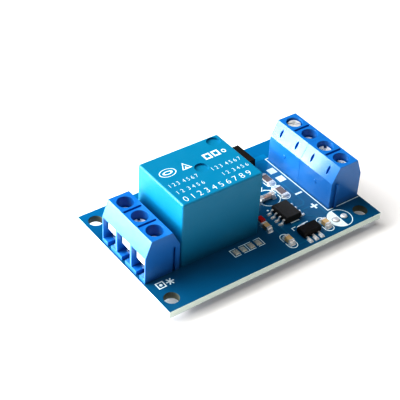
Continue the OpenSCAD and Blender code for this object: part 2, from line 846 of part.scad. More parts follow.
module capacitors() {
    color("tan") on_board() for (p = capacitor_pos) translate([p[0], p[1], 0])
        chip_ceramic(capacitor_l, capacitor_w, capacitor_h);
}
module capacitor_ends() {
    color("silver") on_board() for (p = capacitor_pos) translate([p[0], p[1], 0])
        chip_ends(capacitor_l, capacitor_w, capacitor_h);
}
module resistors() {
    color("#3a3330") on_board() for (p = resistor_pos) translate([p[0], p[1], 0])
        chip_ceramic(resistor_l, resistor_w, resistor_h);
}
module resistor_ends() {
    color("silver") on_board() for (p = resistor_pos) translate([p[0], p[1], 0])
        chip_ends(resistor_l, resistor_w, resistor_h);
}

module along_x(l, r) {
    translate([-l / 2, 0, 0]) rotate([0, 90, 0]) cylinder(r = r, h = l);
}
module glass_diode() {
    color("lightcyan") on_board() translate([diode_pos[0], diode_pos[1], diode_r])
        along_x(diode_l - 2 * diode_cap_l, diode_r - 0.04);
}
module diode_ends() {
    color("silver") on_board() translate([diode_pos[0], diode_pos[1], diode_r])
        for (s = [-1, 1]) translate([s * (diode_l - diode_cap_l) / 2, 0, 0])
            along_x(diode_cap_l, diode_r);
}

module red_led_base() {
    color("ivory") on_board() translate([led_pos[0], led_pos[1], 0])
        box(-led_w / 2, led_w / 2, -led_l / 2, led_l / 2, 0, led_base_h);
}
module red_led_lens() {
    color("red") on_board() translate([led_pos[0], led_pos[1], led_base_h])
        across(led_l - 0.5) polygon([[-led_w / 2, 0], [-led_w / 2 + chip_bevel, led_lens_h],
            [led_w / 2 - chip_bevel, led_lens_h], [led_w / 2, 0]]);
}

module optocoupler() {
    color("#1c1c1e") on_board() translate([opto_pos[0], opto_pos[1], 0]) difference() {
        rotate([0, 0, 90]) across(opto_w) bevelled(opto_l, opto_h, opto_stand, opto_bevel);
        translate([-opto_w / 2 + 0.9, opto_l / 2 - 1.25, opto_stand + opto_h - 0.1])
            cylinder(r = 0.5, h = 1);
    }
}

// The optocoupler's pins below its shoulders, straight down through the board
module opto_pin_ends() {
    on_board() for (p = opto_pins()) translate([p[0], p[1], 0])
        box(-opto_lead_t, opto_lead_t, -opto_lead_t / 2, opto_lead_t / 2,
            pin_bottom, opto_stand + 0.1);
}
module optocoupler_leads() {
    mid = opto_stand + opto_h / 2;
    color("silver") {
        opto_pin_ends();
        on_board() translate([opto_pos[0], opto_pos[1], 0])
            for (s = [0, 180], i = [-1, 1]) rotate([0, 0, s])
                translate([i * opto_pitch / 2, opto_row / 2, 0]) {
                    box(-opto_lead_w / 2, opto_lead_w / 2, -opto_lead_t / 2, opto_lead_t / 2,
                        opto_stand + 0.1 - eps, mid + opto_lead_t / 2);
                    box(-opto_lead_w / 2, opto_lead_w / 2, (opto_l - opto_row) / 2, opto_lead_t / 2,
                        mid - opto_lead_t / 2, mid + opto_lead_t / 2);
                }
    }
}

// ---- Nodes --------------------------------------------------------------

pcb();
silkscreen();
solder_pads();
solder_joints();
relay_case();
relay_base();
relay_bobbin();
relay_coil();
relay_core();
relay_yoke();
relay_armature();
relay_contact_spring();
relay_closed_contact();
relay_open_contact();
relay_coil_pins();
left_housing();
right_far_housing();
right_near_housing();
for (k = [0 : way_n - 1]) {
    clamp_frame(k);
    wire_guard(k);
    clamp_screw(k);
}
driver_chip();
driver_chip_leads();
regulator();
regulator_leads();
capacitors();
capacitor_ends();
resistors();
resistor_ends();
glass_diode();
diode_ends();
red_led_base();
red_led_lens();
optocoupler();
optocoupler_leads();
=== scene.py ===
import math

import bmesh
import bpy
from mathutils import Matrix, Vector


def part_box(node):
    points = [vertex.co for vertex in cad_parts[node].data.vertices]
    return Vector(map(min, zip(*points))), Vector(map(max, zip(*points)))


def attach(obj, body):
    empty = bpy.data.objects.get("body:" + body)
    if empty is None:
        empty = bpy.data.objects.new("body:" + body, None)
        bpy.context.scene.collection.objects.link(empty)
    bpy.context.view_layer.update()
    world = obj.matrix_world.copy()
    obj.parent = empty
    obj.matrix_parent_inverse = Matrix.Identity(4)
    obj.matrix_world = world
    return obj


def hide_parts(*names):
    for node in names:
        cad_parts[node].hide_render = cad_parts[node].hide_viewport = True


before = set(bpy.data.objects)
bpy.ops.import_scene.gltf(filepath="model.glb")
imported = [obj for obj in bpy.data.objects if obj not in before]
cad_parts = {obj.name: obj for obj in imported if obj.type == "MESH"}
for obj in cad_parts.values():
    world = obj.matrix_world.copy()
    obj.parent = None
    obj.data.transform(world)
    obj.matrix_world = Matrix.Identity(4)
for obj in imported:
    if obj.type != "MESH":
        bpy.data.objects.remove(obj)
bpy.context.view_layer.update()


# ---- Table, lamps and camera ----------------------------------------------
# The module stands on a white table. A large soft lamp stands low behind its
# left end with a small one before it. Two hang above in a dim room, and a
# small one at the right puts glints on the solder.

reach = 1.5
table_mesh = bpy.data.meshes.new("table")
table_mesh.from_pydata(
    [(-reach, -reach, 0), (reach, -reach, 0), (reach, reach, 0), (-reach, reach, 0)],
    [],
    [(0, 1, 2, 3)],
)
table = bpy.data.objects.new("table", table_mesh)
bpy.context.scene.collection.objects.link(table)
table_paint = bpy.data.materials.new("table white")
table_paint.use_nodes = True
table_shader = table_paint.node_tree.nodes["Principled BSDF"]
table_shader.inputs["Base Color"].default_value = (0.86, 0.85, 0.84, 1)
table_shader.inputs["Roughness"].default_value = 0.9
table_shader.inputs["Emission Color"].default_value = (1.0, 0.93, 0.87, 1)
table_shader.inputs["Emission Strength"].default_value = 0.12
table_mesh.materials.append(table_paint)

module_middle = Vector((0, 0, 0.008))


def hang_lamp(name, place, width, height, watts):
    """A soft lamp that looks at the middle of the module."""
    light = bpy.data.lights.new(name, "AREA")
    light.shape = "RECTANGLE"
    light.size = width
    light.size_y = height
    light.energy = watts
    lamp = bpy.data.objects.new(name, light)
    turn = (module_middle - Vector(place)).to_track_quat("-Z", "Y")
    lamp.matrix_world = Matrix.Translation(place) @ turn.to_matrix().to_4x4()
    bpy.context.scene.collection.objects.link(lamp)


hang_lamp("key lamp", (-0.75, 0.58, 0.43), width=0.90, height=0.86, watts=17.3)
hang_lamp("low lamp", (-0.080, 0.045, 0.012), width=0.07, height=0.02, watts=0.062)
hang_lamp("top lamp", (-0.32, 0.42, 0.85), width=0.5, height=0.5, watts=4.2)
hang_lamp("overhead lamp", (0.0, -0.05, 1.0), width=0.4, height=0.4, watts=2.2)
hang_lamp("glint lamp", (0.30, -0.40, 0.40), width=0.13, height=0.13, watts=0.27)

room = bpy.data.worlds.new("room")
room.use_nodes = True
room.node_tree.nodes["Background"].inputs["Color"].default_value = (1, 1, 1, 1)
room.node_tree.nodes["Background"].inputs["Strength"].default_value = 0.04
bpy.context.scene.world = room
bpy.context.scene.view_settings.view_transform = "Standard"
bpy.context.scene.view_settings.look = "High Contrast"

camera_place = (-0.11584, -0.13819, 0.15232)
camera_side = Vector((0.80928, -0.58584, 0.04300))
camera_up = Vector((0.34155, 0.52884, 0.77696))
camera_back = Vector((-0.47792, -0.61409, 0.62808))
camera_data = bpy.data.cameras.new("camera")
camera_data.sensor_width = 36
camera_data.lens = 101.83
camera_data.clip_start = 0.01
camera = bpy.data.objects.new("camera", camera_data)
camera_turn = Matrix((camera_side, camera_up, camera_back)).transposed()
camera.matrix_world = Matrix.Translation(camera_place) @ camera_turn.to_4x4()
bpy.context.scene.collection.objects.link(camera)
bpy.context.scene.camera = camera


# ---- Bare board -----------------------------------------------------------
# The board is pressed from glass cloth and epoxy, and its pale sawn edge shows
# the layers. Glossy blue solder mask covers both faces.

MM = 0.001


class Value:
    """One output of a node. A sum, product or comparison of Values adds its Math nodes."""

    def __init__(self, wiring, socket):
        self.wiring, self.socket = wiring, socket

    def __getitem__(self, name):
        return Value(self.wiring, self.socket.node.outputs[name])

    def reckon(self, operation, *terms):
        return self.wiring.node("ShaderNodeMath", {"operation": operation}, dict(enumerate(terms)))

    def __add__(self, other):
        return self.reckon("ADD", self, other)

    def __radd__(self, other):
        return self.reckon("ADD", other, self)

    def __sub__(self, other):
        return self.reckon("SUBTRACT", self, other)

    def __rsub__(self, other):
        return self.reckon("SUBTRACT", other, self)

    def __mul__(self, other):
        return self.reckon("MULTIPLY", self, other)

    def __rmul__(self, other):
        return self.reckon("MULTIPLY", other, self)

    def __truediv__(self, other):
        return self.reckon("DIVIDE", self, other)

    def __rtruediv__(self, other):
        return self.reckon("DIVIDE", other, self)

    def __gt__(self, other):
        return self.reckon("GREATER_THAN", self, other)

    def __lt__(self, other):
        return self.reckon("LESS_THAN", self, other)

    def __abs__(self):
        return self.reckon("ABSOLUTE", self)


class Wiring:
    """Adds nodes to one tree."""

    def __init__(self, tree):
        self.tree = tree

    def node(self, kind, settings=None, sockets=None, out=0):
        """Any node: its settings first, then the values or links of its sockets."""
        made = self.tree.nodes.new(kind)
        for name, value in (settings or {}).items():
            setattr(made, name, value)
        for name, value in (sockets or {}).items():
            if isinstance(value, Value):
                self.tree.links.new(value.socket, made.inputs[name])
            else:
                made.inputs[name].default_value = value
        return Value(self, made.outputs[out])


class Finish(Wiring):
    """A material round one Principled shader, with patterns on Object coordinates."""

    def __init__(self, name, color, roughness, **fixed):
        self.material = bpy.data.materials.new(name)
        self.material.use_nodes = True
        super().__init__(self.material.node_tree)
        self.shader = self.tree.nodes["Principled BSDF"]
        fixed.update(Base_Color=(*color, 1), Roughness=roughness)
        for socket, value in fixed.items():
            self.shader.inputs[socket.replace("_", " ")].default_value = value
        self.spot = self.node("ShaderNodeTexCoord", out="Object")

    def vary(self, socket, value):
        """Feeds one of the shader's sockets from a Value."""
        self.tree.links.new(value.socket, self.shader.inputs[socket])

    def mix(self, share, first, second):
        """A colour between two colours, each a plain colour or a Value."""
        first, second = ((*c, 1) if isinstance(c, tuple) else c for c in (first, second))
        return self.node(
            "ShaderNodeMix", {"data_type": "RGBA"}, {0: share, 6: first, 7: second}, out=2
        )

    def grain(self, size, detail=2.0, stretch=None):
        """Cloudy noise with patches of the given size in metres, from 0 to 1."""
        spot = self.spot
        if stretch:
            spot = self.node("ShaderNodeMapping", sockets={"Vector": spot, "Scale": stretch})
        return self.node(
            "ShaderNodeTexNoise", sockets={"Vector": spot, "Scale": 1 / size, "Detail": detail}
        )

    def ramp(self, value, low, high, to_low=0.0, to_high=1.0):
        """Value moved from the range low..high to to_low..to_high, and kept inside it."""
        return self.node(
            "ShaderNodeMapRange", sockets={0: value, 1: low, 2: high, 3: to_low, 4: to_high}
        )

    def relief(self, height, depth, strength=1.0):
        """Bumps of the given depth in metres where height goes from 0 to 1."""
        sockets = {"Height": height, "Distance": depth, "Strength": strength}
        self.vary("Normal", self.node("ShaderNodeBump", sockets=sockets))


def coat_node(finish, *nodes):
    """Gives CAD nodes a finish in place of their plain colour."""
    for name in nodes:
        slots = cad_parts[name].data.materials
        slots.clear()
        slots.append(finish.material)


board_low, board_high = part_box("pcb")


def on_board(x, y, z=0.0):
    """A place given in millimetres from the board's left near corner, on its upper face."""
    return Vector((board_low.x + x * MM, board_low.y + y * MM, board_high.z + z * MM))


def mask_with_painted_light(finish, shaded_color, lit_color):
    """Solder mask in cloudy patches, with painted light that makes it lighter towards the far side and
    a little towards the right end.
    """
    place = finish.node("ShaderNodeSeparateXYZ", sockets={0: finish.spot})
    # Painted light: the Y and X terms make the mask lighter towards the far side; the grain gives
    # cloudy patches.
    painted_light_and_clouds = place["Y"] * 0.8 + place["X"] * 0.2 + finish.grain(6 * MM) * (3 * MM)
    return finish.mix(finish.ramp(painted_light_and_clouds, 3 * MM, 13 * MM), shaded_color, lit_color)


mask_t = 0.04 * MM
mask_blue = (0.0, 0.097, 0.20)
# Hole walls get this dark colour as painted shade.
hole_wall_painted_shade = (0.10, 0.115, 0.09)
bare_board = Finish("solder mask on glass epoxy", mask_blue, 0.3, Coat_Weight=0.2, Coat_Roughness=0.1)
place = bare_board.node("ShaderNodeSeparateXYZ", sockets={0: bare_board.spot})
sawn = (place["Z"] > board_low.z + mask_t) * (place["Z"] < board_high.z - mask_t)
at_end = abs(place["X"]) > board_high.x - mask_t / 2
at_side = abs(place["Y"]) > board_high.y - mask_t / 2
at_rim = at_end.reckon("MAXIMUM", at_end, at_side)
cloth = bare_board.grain(0.5 * MM, 3, (0.15, 0.15, 7.0))
epoxy = bare_board.mix(bare_board.ramp(cloth, 0.35, 0.65), (0.74, 0.86, 0.76), (0.90, 0.96, 0.90))
# Painted shade: every sawn face but the outer rim, that is the hole walls, takes the dark hole colour.
epoxy = bare_board.mix(at_rim, hole_wall_painted_shade, epoxy)
# The mask colour carries painted light: lighter towards the far side.
mask = mask_with_painted_light(bare_board, mask_blue, (0.0, 0.18, 0.38))
bare_board.vary("Base Color", bare_board.mix(sawn, mask, epoxy))
bare_board.vary("Roughness", sawn * 0.4 + 0.26 + bare_board.grain(1.5 * MM) * 0.1)
bare_board.vary("Coat Weight", 0.2 - sawn * 0.2)
bare_board.relief(bare_board.grain(0.8 * MM, 1), 0.012 * MM)
coat_node(bare_board, "pcb")


# ---- Copper tracks --------------------------------------------------------
# Copper etched to lines and covered by the mask: fine tracks round the small
# circuit, and broad ones to the terminals. Each stands a hair off the board.


class Recipe(Wiring):
    """A Geometry Nodes tree with named sizes, run once to give a plain mesh."""

    def __init__(self, name, *sizes):
        super().__init__(bpy.data.node_groups.new(name, "GeometryNodeTree"))
        face = self.tree.interface
        face.new_socket("Geometry", in_out="OUTPUT", socket_type="NodeSocketGeometry")
        face.new_socket("Geometry", in_out="INPUT", socket_type="NodeSocketGeometry")
        for size in sizes:
            face.new_socket(size, in_out="INPUT", socket_type="NodeSocketFloat")
        self.given = self.tree.nodes.new("NodeGroupInput")
        self.start = Value(self, self.given.outputs["Geometry"])

    def __getitem__(self, size):
        return Value(self, self.given.outputs[size])

    def triple(self, x, y, z):
        """A vector from three numbers or Values."""
        return self.node("ShaderNodeCombineXYZ", sockets={0: x, 1: y, 2: z})

    def end(self, geometry, finish):
        """Makes instances real and gives everything the finish."""
        self.finish = finish
        solid = self.node("GeometryNodeRealizeInstances", sockets={0: geometry})
        coated = self.node(
            "GeometryNodeSetMaterial", sockets={"Geometry": solid, "Material": finish.material}
        )
        self.tree.links.new(coated.socket, self.tree.nodes.new("NodeGroupOutput").inputs[0])

    def make(self, name, seed, **sizes):
        """Runs the recipe on a seed mesh and keeps the result as a piece of its own."""
        holder = bpy.data.objects.new(name + "_seed", seed)
        bpy.context.scene.collection.objects.link(holder)
        step = holder.modifiers.new("recipe", "NODES")
        step.node_group = self.tree
        for item in self.tree.interface.items_tree:
            key = item.name.replace(" ", "_").lower()
            if item.in_out == "INPUT" and key in sizes:
                step[item.identifier] = sizes[key]
        ready = holder.evaluated_get(bpy.context.evaluated_depsgraph_get())
        mesh = bpy.data.meshes.new_from_object(ready)
        mesh.name = name
        mesh.materials.clear()
        mesh.materials.append(self.finish.material)
        bpy.data.objects.remove(holder)
        return show(name, mesh)


def show(name, mesh):
    """Puts a mesh in the scene as an object at the origin."""
    piece = bpy.data.objects.new(name, mesh)
    bpy.context.scene.collection.objects.link(piece)
    return piece


def route_mesh(routes, z):
    """The middle lines of tracks, as one mesh of edges at height z above the upper face."""
    points, edges = [], []
    for route in routes:
        first = len(points)
        points += [on_board(x, y, z) for x, y in route]
        edges += [(i, i + 1) for i in range(first, len(points) - 1)]
    mesh = bpy.data.meshes.new("routes")
    mesh.from_pydata(points, edges, [])
    return mesh


mask_over_copper = (0.0, 0.125, 0.235)
masked_copper = Finish("solder mask on copper", mask_over_copper, 0.3, Coat_Weight=0.2)
# The mask over copper carries the same painted light: lighter towards the far side.
masked_copper.vary("Base Color", mask_with_painted_light(masked_copper, mask_over_copper, (0.0, 0.23, 0.46)))
masked_copper.relief(masked_copper.grain(0.8 * MM, 1), 0.012 * MM)

track = Recipe("track", "Width", "Height")
line = track.node("GeometryNodeMeshToCurve", sockets={0: track.start})
line = track.node("GeometryNodeSetCurveNormal", {"mode": "Z_UP"}, {"Curve": line})
section = track.node(
    "GeometryNodeCurvePrimitiveQuadrilateral",
    sockets={"Width": track["Width"], "Height": track["Height"]},
)
strip = track.node(
    "GeometryNodeCurveToMesh", sockets={"Curve": line, "Profile Curve": section, "Fill Caps": True}
)
track.end(strip, masked_copper)

fine_routes = [
    [(33.4, 12.2), (32.2, 12.2), (31.4, 13.0), (31.4, 15.4), (32.4, 16.4), (34.4, 16.4)],
    [(33.4, 10.9), (31.9, 10.9), (30.3, 10.2)],
    [(33.4, 9.7), (32.4, 9.7), (31.6, 8.9), (31.6, 4.6)],
    [(33.4, 8.4), (33.0, 8.0), (33.0, 1.6), (36.0, 1.6)],
    [(39.4, 12.2), (40.3, 13.1), (40.3, 15.2)],
    [(39.4, 10.9), (41.6, 10.9), (42.4, 11.7), (42.4, 19.3), (41.4, 20.2), (40.3, 20.2)],
    [(39.4, 9.7), (43.4, 9.7), (44.0, 9.1), (44.0, 4.4)],
    [(39.4, 8.4), (40.4, 7.4), (41.3, 6.5), (41.3, 4.6)],
    [(37.6, 16.4), (38.6, 16.4), (40.3, 18.1)],
    [(35.7, 24.0), (35.7, 22.6), (36.7, 21.6), (38.4, 21.6), (40.3, 23.1)],
    [(38.3, 24.0), (38.3, 23.2), (39.0, 22.5), (43.0, 22.5), (44.6, 24.1), (47.0, 24.1)],
    [(22.35, 6.5), (24.35, 6.5)],
]
broad_routes = [
    [(36.8, 5.2), (36.8, 6.4), (35.4, 7.2)],
    [(45.6, 28.6), (33.0, 28.6), (30.4, 26.0), (30.4, 24.6)],
    [(6.2, 28.0), (15.4, 28.0), (18.2, 30.8), (33.0, 30.8)],
]
under_broad_routes = [
    [(4.15, 11.42), (4.15, 8.0), (8.4, 3.8), (11.2, 6.6), (11.2, 10.6)],
    [(4.15, 16.5), (24.0, 16.5)],
    [(4.15, 21.58), (4.15, 25.0), (7.4, 28.2), (11.2, 24.4), (11.2, 22.6)],
    [(49.45, 19.9), (46.6, 19.9), (43.0, 23.5), (39.4, 23.5), (38.3, 24.4)],
]
under_fine_routes = [
    [(24.2, 22.6), (26.4, 24.8), (34.9, 24.8), (35.7, 24.0)],
    [(24.2, 10.6), (27.0, 7.8), (40.4, 7.8), (44.1, 4.1)],
    [(49.45, 9.48), (46.3, 6.3), (46.3, 3.8)],
    [(49.45, 14.56), (44.6, 14.56), (41.0, 18.2), (41.0, 21.0)],
    [(35.7, 31.5), (22.0, 31.5), (20.2, 29.7), (20.2, 28.3)],
    [(38.3, 31.5), (42.7, 31.5), (49.45, 24.75)],
]
track_z, track_t = 0.004, 0.036
under_z = (board_low.z - board_high.z) / MM - track_z
for name, routes, z, width in (
    ("fine_tracks", fine_routes, track_z, 0.4),
    ("broad_tracks", broad_routes, track_z, 1.6),
    ("under_fine_tracks", under_fine_routes, under_z, 0.6),
    ("under_broad_tracks", under_broad_routes, under_z, 2.4),
):
    piece = track.make(name, route_mesh(routes, z), width=width * MM, height=track_t * MM)
    piece.data.set_sharp_from_angle(angle=math.radians(30))
    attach(piece, "board")


# ---- Print on the board ---------------------------------------------------
# White ink, screened over the mask: outlines of the parts, and plain marks
# beside the terminals.

board_ink = Finish("white board ink", (0.94, 0.95, 0.95), 0.55)
ink_cover = board_ink.ramp(board_ink.grain(0.35 * MM), 0.3, 0.5)
board_ink.vary("Base Color", board_ink.mix(ink_cover, (0.66, 0.78, 0.80), (0.80, 0.89, 0.89)))
board_ink.relief(board_ink.grain(0.15 * MM), 0.01 * MM)
coat_node(board_ink, "silkscreen")


# ---- Pads and vias --------------------------------------------------------
# Tinned copper pads of the two parts that aren't fitted, and small plated
# holes that join the two sides of the board.

tinned = Finish("tinned copper", (0.76, 0.68, 0.56), 0.34, Metallic=0.55)
tinned.vary("Roughness", tinned.ramp(tinned.grain(0.3 * MM, 4), 0.3, 0.7, 0.22, 0.5))
tinned.vary(
    "Base Color", tinned.mix(tinned.grain(0.8 * MM, 3), (0.62, 0.54, 0.42), (0.86, 0.80, 0.70))
)
tinned.relief(tinned.grain(0.5 * MM, 2), 0.03 * MM)
coat_node(tinned, "solder_pads")


def seat_mesh(seats):
    """Points with the size in millimetres and the turn in degrees of what stands on each."""
    mesh = bpy.data.meshes.new("seats")
    mesh.from_pydata([seat[0] for seat in seats], [], [])
    size = mesh.attributes.new("size", "FLOAT_VECTOR", "POINT")
    for point, (_, (w, d, h), _) in zip(size.data, seats):
        point.vector = (w * MM, d * MM, h * MM)
    turn = mesh.attributes.new("turn", "FLOAT", "POINT")
    for point, (_, _, angle) in zip(turn.data, seats):
        point.value = math.radians(angle)
    return mesh


def seated(name, template, finish):
    """A recipe that puts a copy of the template on each seat."""
    recipe = Recipe(name)
    shape = recipe.node("GeometryNodeObjectInfo", sockets={"Object": template}, out="Geometry")
    size = recipe.node(
        "GeometryNodeInputNamedAttribute", {"data_type": "FLOAT_VECTOR"}, {"Name": "size"}
    )
    turn = recipe.node("GeometryNodeInputNamedAttribute", {"data_type": "FLOAT"}, {"Name": "turn"})
    copies = recipe.node(
        "GeometryNodeInstanceOnPoints",
        sockets={
            "Points": recipe.start,
            "Instance": shape,
            "Rotation": recipe.triple(0.0, 0.0, turn),
            "Scale": size,
        },
    )
    recipe.end(copies, finish)
    return recipe


def stacked_object(name, outline, rings):
    """A closed shape: the outline repeated at each ring of (x share, y share, height)."""
    sides, points, faces = len(outline), [], []
    for share_x, share_y, z in rings:
        points += [(x * share_x, y * share_y, z) for x, y in outline]
    for r in range(len(rings) - 1):
        for i in range(sides):
            j = (i + 1) % sides
            faces.append((r * sides + i, r * sides + j, (r + 1) * sides + j, (r + 1) * sides + i))
    faces.append(tuple(reversed(range(sides))))
    faces.append(tuple(range((len(rings) - 1) * sides, len(rings) * sides)))
    mesh = bpy.data.meshes.new(name)
    mesh.from_pydata(points, [], faces)
    shape = bmesh.new()
    shape.from_mesh(mesh)
    bmesh.ops.recalc_face_normals(shape, faces=shape.faces)
    shape.to_mesh(mesh)
    shape.free()
    mesh.shade_smooth()
    mesh.set_sharp_from_angle(angle=math.radians(50))
    return show(name, mesh)


def lathe_object(name, rings, sides):
    """A closed round shape of unit radius, from rings of (radius, height)."""
    turns = [2 * math.pi * i / sides for i in range(sides)]
    outline = [(math.cos(a), math.sin(a)) for a in turns]
    return stacked_object(name, outline, [(r, r, z) for r, z in rings])


via_shape = lathe_object("via_shape", [(0.34, 0.35), (0.42, 1.0), (0.8, 1.0), (1.0, 0.0)], 16)
via_places = [
    (8.0, 28.0), (10.4, 28.0), (20.2, 28.3), (26.0, 27.4), (31.4, 30.8), (33.0, 30.8),
    (52.4, 13.2), (52.4, 21.6),
]
vias = seated("vias", via_shape, tinned).make(
    "vias", seat_mesh([(on_board(x, y, 0.02), (0.36, 0.36, 0.05), 0) for x, y in via_places])
)
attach(vias, "board")
bpy.data.objects.remove(via_shape)


# ---- Solder under the board -----------------------------------------------
# Joints left by the solder wave: each runs up its trimmed pin in a cone with
# hollow sides, and holds the pin to its pad.

solder = Finish("bright solder", (0.92, 0.91, 0.89), 0.36, Metallic=0.55)
solder.vary("Roughness", solder.ramp(solder.grain(0.35 * MM, 3), 0.3, 0.7, 0.28, 0.5))
solder.relief(solder.grain(0.4 * MM, 2), 0.03 * MM)


def solids_in(node):
    """The lowest and highest corners of each separate solid of a CAD node."""
    shape = bmesh.new()
    shape.from_mesh(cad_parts[node].data)
    bmesh.ops.remove_doubles(shape, verts=shape.verts, dist=1e-7)
    unvisited, boxes = set(shape.verts), []
    while unvisited:
        solid, to_visit = [], [unvisited.pop()]
        while to_visit:
            vert = to_visit.pop()
            solid.append(vert.co)
            for edge in vert.link_edges:
                other = edge.other_vert(vert)
                if other in unvisited:
                    unvisited.remove(other)
                    to_visit.append(other)
        boxes.append(
            tuple(Vector(pick(spot[i] for spot in solid) for i in range(3)) for pick in (min, max))
        )
    shape.free()
    return sorted(boxes, key=lambda box: (round(box[0].x, 5), round(box[0].y, 5)))


cone_shape = lathe_object(
    "cone_shape",
    [
        (1.0, 0.0), (0.98, -0.05), (0.80, -0.18), (0.64, -0.4), (0.54, -0.68), (0.47, -0.92),
        (0.36, -1.0),
    ],
    24,
)
cone_h, clamp_cone_r, relay_cone_r, opto_cone_r = 1.1, 1.35, 1.3, 0.95
cone_places = []
for way in range(1, 8):
    low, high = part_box(f"clamp_screw_{way}")
    cone_places.append(((low.x + high.x) / 2, (low.y + high.y) / 2, clamp_cone_r))
relay_low, relay_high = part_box("relay_case")
relay_mid = (relay_low + relay_high) / 2
# From the middle of the case, in millimetres
relay_pins = ((-7.1, 6), (-7.1, -6), (5.1, 6), (5.1, -6), (7.5, 0))
for x, y in relay_pins:
    cone_places.append((relay_mid.x + x * MM, relay_mid.y + y * MM, relay_cone_r))
opto_low, opto_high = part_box("optocoupler_leads")
leg_in_x, leg_in_y = 0.6 * MM, 0.13 * MM
for x in (opto_low.x + leg_in_x, opto_high.x - leg_in_x):
    for y in (opto_low.y + leg_in_y, opto_high.y - leg_in_y):
        cone_places.append((x, y, opto_cone_r))
cones = seated("cones", cone_shape, solder).make(
    "solder_cones",
    seat_mesh([((x, y, board_low.z), (r, r, cone_h), 0) for x, y, r in cone_places]),
)
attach(cones, "board")
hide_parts("solder_joints")
bpy.data.objects.remove(cone_shape)


# ---- Solder on the small parts --------------------------------------------
# Reflowed paste: a low mound with hollow sides at each foot and metal end, and
# a full pillow on each pad that carries no part.


def block_object(name, rings, corner_r=0.18):
    """A stack of rounded squares of unit size."""
    outline, reach = [], 0.5 - corner_r
    for side_x, side_y, start in ((1, 1, 0), (-1, 1, 90), (-1, -1, 180), (1, -1, 270)):
        for step in range(4):
            a = math.radians(start + 30 * step)
            x = side_x * reach + corner_r * math.cos(a)
            outline.append((x, side_y * reach + corner_r * math.sin(a)))
    return stacked_object(name, outline, rings)


foot_rings = [(1, 1, 0), (0.97, 0.98, 0.12), (0.84, 0.90, 0.4), (0.72, 0.84, 0.75), (0.62, 0.78, 1)]
end_rings = [(1, 1, 0), (0.98, 0.88, 0.1), (0.95, 0.66, 0.3), (0.92, 0.48, 0.6), (0.88, 0.36, 1)]
pillow_rings = [(1, 1, 0), (0.98, 0.98, 0.35), (0.92, 0.92, 0.68), (0.80, 0.80, 0.90), (0.62, 0.62, 1)]


def mound_on(box, axis, side, inside, outside, wide, tall):
    """Seat of a mound over the low or high end of a foot that lies along axis 0 or 1."""
    place = (box[0] + box[1]) / 2
    place[axis] = box[max(side, 0)][axis] + side * (outside - inside) / 2 * MM
    place.z = board_high.z
    return place, (wide, inside + outside, tall), 90 * (1 - axis)


foot_seats = []
driver_mid_x = sum(corner.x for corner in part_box("driver_chip")) / 2
for foot in solids_in("driver_chip_leads"):
    side = 1 if foot[0].x > driver_mid_x else -1
    foot_seats.append(mound_on(foot, 0, side, inside=0.75, outside=0.45, wide=0.7, tall=0.27))
regulator_feet = solids_in("regulator_leads")
for foot in regulator_feet:
    foot_seats.append(mound_on(foot, 1, -1, inside=0.75, outside=0.65, wide=1.0, tall=0.32))
tab = regulator_feet[1]
foot_seats.append(mound_on(tab, 1, 1, inside=0.65, outside=0.65, wide=2.3, tall=0.32))
lamp_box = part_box("red_led_base")
for side in (-1, 1):
    foot_seats.append(mound_on(lamp_box, 1, side, inside=0.3, outside=0.3, wide=1.2, tall=0.25))

# The near end of each block comes before its far end
end_seats = []
for node, wide, tall in (("capacitor_ends", 1.42, 0.72), ("resistor_ends", 1.75, 0.48)):
    for end, side in zip(solids_in(node), (-1, 1) * 3):
        end_seats.append(mound_on(end, 1, side, inside=0.5, outside=0.62, wide=wide, tall=tall))
for end, side in zip(solids_in("diode_ends"), (-1, 1)):
    end_seats.append(mound_on(end, 0, side, inside=0.5, outside=0.7, wide=1.6, tall=0.8))

empty_pads = solids_in("solder_pads")
row_pads, round_pads = empty_pads[:4], empty_pads[4:]
pillow_seats = [((low + high) / 2, (1.18, 1.42, 0.16), 0) for low, high in row_pads]
dome_seats = [((low + high) / 2, (0.74, 0.74, 0.3), 0) for low, high in round_pads]
dome_shape = lathe_object("dome_shape", [(r, z) for r, _, z in pillow_rings], 28)
for name, shape, seats, finish, slot in (
    ("solder_mounds", block_object("mound_shape", foot_rings), foot_seats, solder, "solder"),
    ("solder_fillets", block_object("fillet_shape", end_rings), end_seats, solder, "solder"),
    ("pad_pillows", block_object("pillow_shape", pillow_rings), pillow_seats, tinned, "tinned_pads"),
    ("pad_domes", dome_shape, dome_seats, solder, "solder"),
):
    piece = seated(name + "_recipe", shape, finish).make(name, seat_mesh(seats))
    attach(piece, "board")
    bpy.data.objects.remove(shape)


# ---- Relay case -----------------------------------------------------------
# A deep box of blue thermoplastic, moulded with a fine matt texture and
# pressed over the base. The print on its top is white ink: plain outlines, and
# rows of plain numbers.

relay_blue = Finish("relay case plastic", (0.002, 0.24, 0.41), 0.42, Specular_IOR_Level=0.45)
relay_blue.vary(
    "Base Color", relay_blue.mix(relay_blue.grain(5 * MM), (0.001, 0.23, 0.395), (0.003, 0.25, 0.43))
)
relay_blue.vary("Roughness", relay_blue.ramp(relay_blue.grain(2 * MM, 4), 0.3, 0.7, 0.36, 0.48))
relay_blue.relief(relay_blue.grain(0.12 * MM, 2), 0.012 * MM)
coat_node(relay_blue, "relay_case")

relay_ink = Finish("white case ink", (0.92, 0.95, 0.96), 0.5)
ink_cover = relay_ink.ramp(relay_ink.grain(0.2 * MM, 4), 0.30, 0.42)
relay_ink.vary("Base Color", relay_ink.mix(ink_cover, (0.50, 0.72, 0.84), (0.94, 0.96, 0.97)))
relay_ink.relief(relay_ink.grain(0.1 * MM), 0.006 * MM)
ink_h = 0.012 * MM


